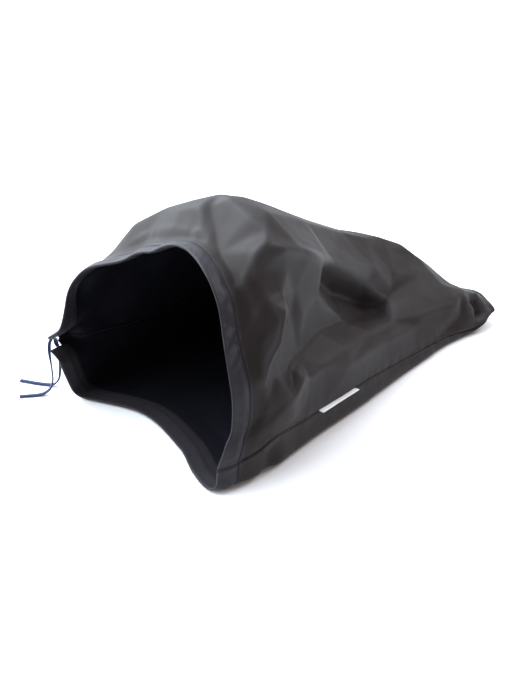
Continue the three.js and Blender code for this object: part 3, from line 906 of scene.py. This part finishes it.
PUCKER_SHARE, PUCKER_EDGES, PUCKER_UNDER = 0.45, 0.25, 0.5
PUCKER_FROM, PUCKER_TO = (0, 6), (12, STITCH_ALONG)
PUCKERED, PUCKERED_HALF, PUCKERED_MORE = 0.28, 0.06, 1.6
LEFT_SEED, RIGHT_SEED = 71.3, 83.9
TUCK_RUB_REACH, TUCK_RUB_HEIGHT = 6, 0.5
RIM_RUB, RIM_RUB_ROWS = 0.35, 3
CASING_SHARP = 50


def around_lengths(turns, along):
    """How far along the mouth each turn is, in millimetres."""
    line = folded(turns, np.array([float(along)]))[0]
    return np.concatenate([[0], np.cumsum(np.linalg.norm(np.diff(line, axis=0), axis=1))])


def pucker(turns, lengths, along):
    """How far the gathered casing stands out at an along: slanting tucks, deeper in one stretch, less the
    dips of the stitch line and of the seam across the casing."""
    slant = PUCKER_SLANT * along
    left = crumple(lengths + slant, 0.0, PUCKER_SIZE, LEFT_SEED)
    right = crumple(lengths - slant, 0.0, PUCKER_SIZE, RIGHT_SEED)
    stretch = np.exp(-(((np.mod(turns, 2) - PUCKERED) / PUCKERED_HALF) ** 2))
    depth = PUCKER_SHARE + PUCKERED_MORE * stretch
    middle = smoothstep(along, *PUCKER_FROM) * (1 - smoothstep(along, *PUCKER_TO))
    dip = STITCH_DIP * math.exp(-(((along - STITCH_ALONG) / STITCH_HALF) ** 2))
    from_seam = lengths - np.interp(2, turns, lengths)
    dip = dip + CROSS_DIP * np.exp(-((from_seam / CROSS_HALF) ** 2))
    return PUCKER * np.minimum(left, right) * depth * (PUCKER_EDGES + middle) - dip


def casing():
    turns = CASING_TURNS
    lengths = around_lengths(turns, 0)
    key = np.arange(len(CASING["along"]), dtype=float)
    at = np.linspace(0, key[-1], (len(key) - 1) * CASING_ROWS + 1)
    rows = {name: read(key, column, at) for name, column in CASING.items()}

    def skin(along_name, half_name, side):
        made = []
        for along, half in zip(rows[along_name], rows[half_name]):
            height = side * half + pucker(turns, lengths, along) * (1 if side > 0 else PUCKER_UNDER)
            made.append(cloth(turns, np.array([along]), height[None])[0])
        return made

    outside, under = skin("along", "half", 1), skin("along", "half", -1)
    lining, over = skin("alongIn", "halfIn", -1), skin("alongIn", "halfIn", 1)
    rings = np.stack([*outside, *under[::-1], *lining, *over[::-1]], axis=1)
    rings[..., 2] = np.maximum(rings[..., 2], 0)
    sides = rings.shape[1]
    outer, inner = rows["along"], rows["alongIn"]
    order = np.concatenate([outer, -outer[::-1], inner, -inner[::-1]])
    flat = np.stack(np.broadcast_arrays(lengths[:, None], order[None]), -1)
    tucks = np.stack([pucker(turns, lengths, along) for along in outer], axis=1)
    rim = tucks.shape[1]
    rubbed = np.zeros(rings.shape[:2])
    rubbed[:, :rim] = np.clip((tucks - blurred(tucks, TUCK_RUB_REACH)) / TUCK_RUB_HEIGHT, 0, 1)
    rubbed[:, rim - RIM_RUB_ROWS : rim + 1] += RIM_RUB
    faces = tube_faces(len(turns), sides)
    wear = np.clip(rubbed, 0, 1).ravel()
    places, flat = rings.reshape(-1, 3), flat.reshape(-1, 2)
    piece = make_piece("bag_casing", places, faces, [casing_cloth], flat, wear, sharp=CASING_SHARP)
    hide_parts("mouth_casing")


casing()


# Stitching along the casing

STITCH_LENGTH, STITCH_PITCH, STITCH_RADIUS = 2.7, 3.1, 0.6
STITCH_RINGS, STITCH_SIDES = 6, 6
STITCH_SINK, STITCH_ENDS, STITCH_SWELL = 0.6, 0.55, 0.45


def stitches(name, line, ways):
    """Stitches in a row along a line, each a short thread that dips into the cloth at its two ends."""
    length = np.concatenate([[0], np.cumsum(np.linalg.norm(np.diff(line, axis=0), axis=1))])
    starts = np.arange(STITCH_PITCH, length[-1] - STITCH_PITCH, STITCH_PITCH)
    u = np.linspace(0, 1, STITCH_RINGS)
    at = starts[:, None] + STITCH_LENGTH * u[None]
    place = np.stack([np.interp(at, length, line[:, k]) for k in range(3)], -1)
    out = unit(np.stack([np.interp(at, length, ways[:, k]) for k in range(3)], -1))
    ahead = unit(np.gradient(place, axis=1))
    side = np.cross(ahead, out)
    arch = np.sin(math.pi * u)
    place = place + out * (STITCH_RADIUS * (arch - STITCH_SINK))[None, :, None]
    angle = math.tau * np.arange(STITCH_SIDES) / STITCH_SIDES
    thick = STITCH_RADIUS * (STITCH_ENDS + STITCH_SWELL * arch)
    ring = side[:, :, None] * np.cos(angle)[:, None] + out[:, :, None] * np.sin(angle)[:, None]
    rings = place[:, :, None] + ring * thick[None, :, None, None]
    one = tube_faces(STITCH_RINGS, STITCH_SIDES)
    each = STITCH_RINGS * STITCH_SIDES
    faces = (np.arange(len(starts))[:, None, None] * each + one[None]).reshape(-1, 4)
    flat = np.stack(np.broadcast_arrays(at[:, :, None], angle[None, None]), -1)
    piece = make_piece(name, rings.reshape(-1, 3), faces, [stitch_thread], flat.reshape(-1, 2))


def casing_stitches():
    turns = CASING_TURNS
    lengths = around_lengths(turns, 0)
    at = np.array([STITCH_ALONG])
    half = np.interp(STITCH_ALONG, CASING["along"][1::-1], CASING["half"][1::-1])
    ways = outward(folded, turns, at)[0]
    line = cloth(turns, at, (half + pucker(turns, lengths, STITCH_ALONG))[None])[0]
    stitches("casing_stitches", line, ways)


casing_stitches()


# Label tab, a folded tape sewn into the near side seam

LABEL_FROM, LABEL_LENGTH, LABEL_DROP, LABEL_THICK, LABEL_SLOPE = 134, 60, 5, 1, 0.1
LABEL_STEPS, LABEL_BEND_STEPS, LABEL_PLACES = 60, 8, (0, 0.3, 0.6)
LABEL_ROOT = -0.8
LABEL_WAVE, LABEL_WAVE_SIZE, LABEL_WAVE_SEED = 0.35, 26, 5.5


def label():
    alongs = LABEL_FROM + LABEL_LENGTH * np.linspace(0, 1, LABEL_STEPS)
    out = outward(folded, [0.0], alongs)[:, 0]
    upwards = unit(folded([STEP_AROUND], alongs)[:, 0] - folded([-STEP_AROUND], alongs)[:, 0])
    root = cloth(np.array([0.0]), alongs, np.array(LABEL_ROOT))[:, 0]
    droop = unit(out - upwards * LABEL_SLOPE)
    drop = LABEL_DROP + WALL / 2
    bend = np.linspace(-math.pi / 2, math.pi / 2, LABEL_BEND_STEPS)
    tip = (drop - LABEL_THICK / 2) / drop + np.cos(bend) * LABEL_THICK / 2 / drop
    reach = np.concatenate([LABEL_PLACES, tip, LABEL_PLACES[::-1]])
    face = np.ones(len(LABEL_PLACES))
    tall = np.concatenate([-face, np.sin(bend), face]) * LABEL_THICK / 2
    wave = LABEL_WAVE * crumple(alongs, 0.0, LABEL_WAVE_SIZE, LABEL_WAVE_SEED)
    rings = root[:, None] + droop[:, None] * (reach * drop)[None, :, None]
    rings = rings + upwards[:, None] * (tall[None] + wave[:, None] * reach[None])[..., None]
    flat = np.stack(np.broadcast_arrays(alongs[:, None], (reach * drop * np.sign(tall))[None]), -1)
    faces = tube_faces(LABEL_STEPS, rings.shape[1])[:, ::-1]
    piece = make_piece("label", rings.reshape(-1, 3), faces, [label_tape], flat.reshape(-1, 2))
    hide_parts("label_tab")


label()


# Drawcord inside the casing

LOOP_HALF, LOOP_SIDES, LOOP_STEPS = 0.9, 16, 400
LOOP_CLEAR = 0.5


def cord_loop():
    """The flat cord inside the casing, from one free end round the mouth to the other."""
    clear = LOOP_CLEAR / girth(0.5, 0)
    turns = np.linspace(EXIT_LOWER + clear, 2 + EXIT_UPPER - clear, LOOP_STEPS)
    angle = math.tau * (np.arange(LOOP_SIDES) + 0.5) / LOOP_SIDES
    alongs, heights = CORD_ALONG + np.cos(angle) * CORD_WIDTH / 2, np.sin(angle) * LOOP_HALF
    lines = []
    for at, height in zip(alongs, heights):
        lines.append(cloth(turns, np.array([at]), np.full((1, LOOP_STEPS), height))[0])
    rings = np.stack(lines, axis=1)
    lengths = around_lengths(turns, CORD_ALONG)
    flat = np.stack(np.broadcast_arrays(lengths[:, None], (heights * 2 + alongs)[None]), -1)
    faces = tube_faces(LOOP_STEPS, LOOP_SIDES)
    piece = make_piece("cord_loop", rings.reshape(-1, 3), faces, [cord_braid], flat.reshape(-1, 2))
    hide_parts("drawcord_loop")


cord_loop()


# Floor and soft studio light

FLOOR_HALF = 6
# Painted light on the floor: where its colour fades, as shares of its half width, and its two tones, pale
# near the bag and darker further out
FLOOR_PAINTED_LIGHT_FADE = (0.07, 0.3)
FLOOR_PAINTED_LIGHT_TONES = ((0.93, 0.93, 0.93), (0.34, 0.34, 0.34))
FLOOR_ROUGHNESS, FLOOR_SPECULAR = 0.9, 0.1
LIGHT_FROM = (-0.84, -0.2, 0.5)
DIM, BRIGHT, BRIGHT_FROM = 0.5, 6.7, 0.25
WARM, COOL, TINT_RANGE = (1, 0.88, 0.86), (0.84, 0.92, 1), (0, 0.5)
KEY_LIGHT = dict(place=(-1.5, 0.1, 1.5), aim=(0, 0, 0.15), size=1.0, power=15, colour=(0.86, 0.94, 1))
BACK_LIGHT = dict(place=(0.64, 1.56, 1.5), aim=(0, 0.1, 0.1), size=0.9, power=26, colour=(0.92, 0.94, 1))


def make_floor():
    """A floor whose colour is painted light and shade: pale near the bag, which lightens the bag's shadow,
    and growing darker away from the bag, where the bright lamps still show it white.
    """
    bpy.ops.mesh.primitive_plane_add(size=2 * FLOOR_HALF)
    floor = bpy.context.object
    floor.name = "floor"
    material, nodes, links, shader = new_material("floor")
    place = nodes.new("ShaderNodeTexCoord").outputs["Object"]
    away = nodes.new("ShaderNodeVectorMath")
    away.operation = "LENGTH"
    links.new(place, away.inputs[0])
    share = math_node(nodes, links, "DIVIDE", away.outputs["Value"], FLOOR_HALF)
    links.new(ramp(nodes, links, share, *FLOOR_PAINTED_LIGHT_FADE, FLOOR_PAINTED_LIGHT_TONES), shader.inputs["Base Color"])
    shader.inputs["Roughness"].default_value = FLOOR_ROUGHNESS
    shader.inputs["Specular IOR Level"].default_value = FLOOR_SPECULAR
    floor.data.materials.append(material)


def make_world():
    """Light from all round, bright and cool from the left and above, dim and warm elsewhere."""
    world = bpy.data.worlds.new("studio")
    world.use_nodes = True
    nodes, links = world.node_tree.nodes, world.node_tree.links
    way = nodes.new("ShaderNodeTexCoord")
    facing = nodes.new("ShaderNodeVectorMath")
    facing.operation = "DOT_PRODUCT"
    links.new(way.outputs["Generated"], facing.inputs[0])
    facing.inputs[1].default_value = LIGHT_FROM
    strength = nodes.new("ShaderNodeMapRange")
    strength.interpolation_type = "SMOOTHSTEP"
    strength.inputs["From Min"].default_value = BRIGHT_FROM
    strength.inputs["To Min"].default_value = DIM
    strength.inputs["To Max"].default_value = BRIGHT
    links.new(facing.outputs["Value"], strength.inputs["Value"])
    links.new(strength.outputs["Result"], nodes["Background"].inputs["Strength"])
    tint = ramp(nodes, links, facing.outputs["Value"], *TINT_RANGE, (WARM, COOL))
    links.new(tint, nodes["Background"].inputs["Color"])
    bpy.context.scene.world = world


def area_light(name, place, aim, size, power, colour):
    data = bpy.data.lights.new(name, "AREA")
    data.size = size
    data.energy = power
    data.color = colour
    light = bpy.data.objects.new(name, data)
    light.location = place
    light.rotation_euler = (Vector(aim) - Vector(place)).to_track_quat("-Z", "Y").to_euler()
    bpy.context.scene.collection.objects.link(light)


make_floor()
make_world()
area_light("key", **KEY_LIGHT)
area_light("back", **BACK_LIGHT)
bpy.context.scene.view_settings.view_transform = "Standard"
